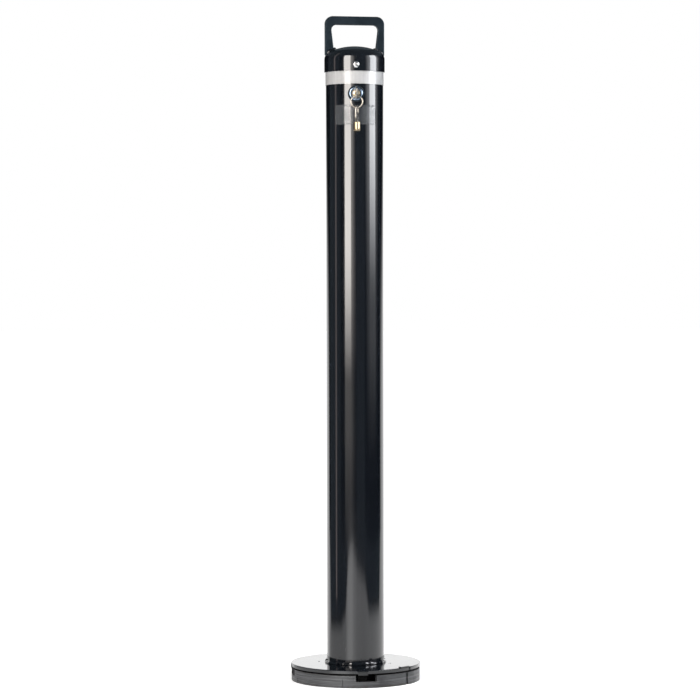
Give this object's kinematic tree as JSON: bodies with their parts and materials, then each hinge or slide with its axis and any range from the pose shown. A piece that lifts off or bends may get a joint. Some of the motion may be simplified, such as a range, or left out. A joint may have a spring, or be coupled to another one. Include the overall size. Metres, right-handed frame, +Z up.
{
  "type": "removable safety bollard",
  "caption": "Removable steel post on a low ground base, with a keyed lift-out lock near its domed top, a lift handle and a hanging spare key.",
  "frame": {"origin": "centre of the base's underside, on the ground", "axes": "+Z up along the post, -Y towards the side with the lock, +X to the right seen from the lock"},
  "size_m": [0.2012, 0.2012, 1.025],
  "materials": {
    "base_grey": "satin",
    "gloss_black": "gloss",
    "weld_black": "gloss",
    "satin_black": "satin",
    "bright_steel": "bright",
    "chrome": "polished",
    "plug_nickel": "satin",
    "zinc_steel": "zinc plated",
    "key_brass": "satin",
    "key_nickel": "nickel",
    "reflective_tape": "beaded",
    "clear_film": "clear"
  },
  "bodies": {
    "base": {"base_plate": "base_grey", "base_ring": "base_grey", "keeper_wall": "base_grey", "keeper_plate": "base_grey", "keeper_screws": "bright_steel"},
    "post": {"post_flange": "gloss_black", "locating_lugs": "weld_black", "post_tube": "gloss_black", "flange_weld": "weld_black", "top_cap": "gloss_black", "lift_handle": "satin_black", "handle_welds": "weld_black", "cap_screws": "bright_steel", "reflective_band": "reflective_tape", "blank_label": "clear_film", "lock_collar": "satin_black", "lock_body": "chrome", "lock_nut": "zinc_steel", "upper_rod_guide": "zinc_steel", "lower_rod_guide": "zinc_steel", "claw_bracket": "zinc_steel", "claw_pivot_pins": "zinc_steel"},
    "lock_core": {"lock_plug": "plug_nickel", "cam_arm": "zinc_steel", "cam_screw": "zinc_steel", "crank_pin": "zinc_steel"},
    "rod": {"latch_rod": "zinc_steel", "lift_plate": "zinc_steel", "rod_stop": "zinc_steel", "claw_cam": "zinc_steel"},
    "right_claw_arm": {"right_claw": "zinc_steel", "right_claw_pin": "zinc_steel"},
    "left_claw_arm": {"left_claw": "zinc_steel", "left_claw_pin": "zinc_steel"},
    "key": {"key_shank": "key_brass", "key_bow": "key_nickel"},
    "ring": {"key_ring": "key_nickel"},
    "spare_key": {"spare_key_shank": "key_brass", "spare_key_bow": "key_nickel"}
  },
  "joints": [
    {"name": "post_lift", "type": "slide", "parent": "base", "child": "post", "axis": [0, 0, 1], "range_m": [0, 0.15]},
    {"name": "rod_lift", "type": "slide", "parent": "post", "child": "rod", "axis": [0, 0, 1], "range_m": [0, 0.01909]},
    {"name": "lock_turn", "type": "hinge", "parent": "post", "child": "lock_core", "pos_m": [0, -0.052, 0.9032], "axis": [0, -1, 0], "range_deg": [0, 90]},
    {"name": "right_claw_swing", "type": "hinge", "parent": "post", "child": "right_claw_arm", "pos_m": [0.02, 0, 0.08], "axis": [0, -1, 0], "range_deg": [0, 8]},
    {"name": "left_claw_swing", "type": "hinge", "parent": "post", "child": "left_claw_arm", "pos_m": [-0.02, 0, 0.08], "axis": [0, 1, 0], "range_deg": [0, 8]},
    {"name": "key_pull", "type": "slide", "parent": "lock_core", "child": "key", "axis": [0, -1, 0], "range_m": [0, 0.03]},
    {"name": "key_ring_swing", "type": "hinge", "parent": "key", "child": "ring", "pos_m": [0, -0.075, 0.89795], "axis": [1, 0, 0], "range_deg": [-35, 12]},
    {"name": "spare_key_swing", "type": "hinge", "parent": "ring", "child": "spare_key", "pos_m": [0, -0.075, 0.88015], "axis": [1, 0, 0], "range_deg": [-30, 12]}
  ],
  "couplings": [
    {"joint": "lock_turn", "follows": "rod_lift", "rad_per_m": 82.275},
    {"joint": "right_claw_swing", "follows": "rod_lift", "rad_per_m": 7.3129},
    {"joint": "left_claw_swing", "follows": "rod_lift", "rad_per_m": 7.3129}
  ]
}
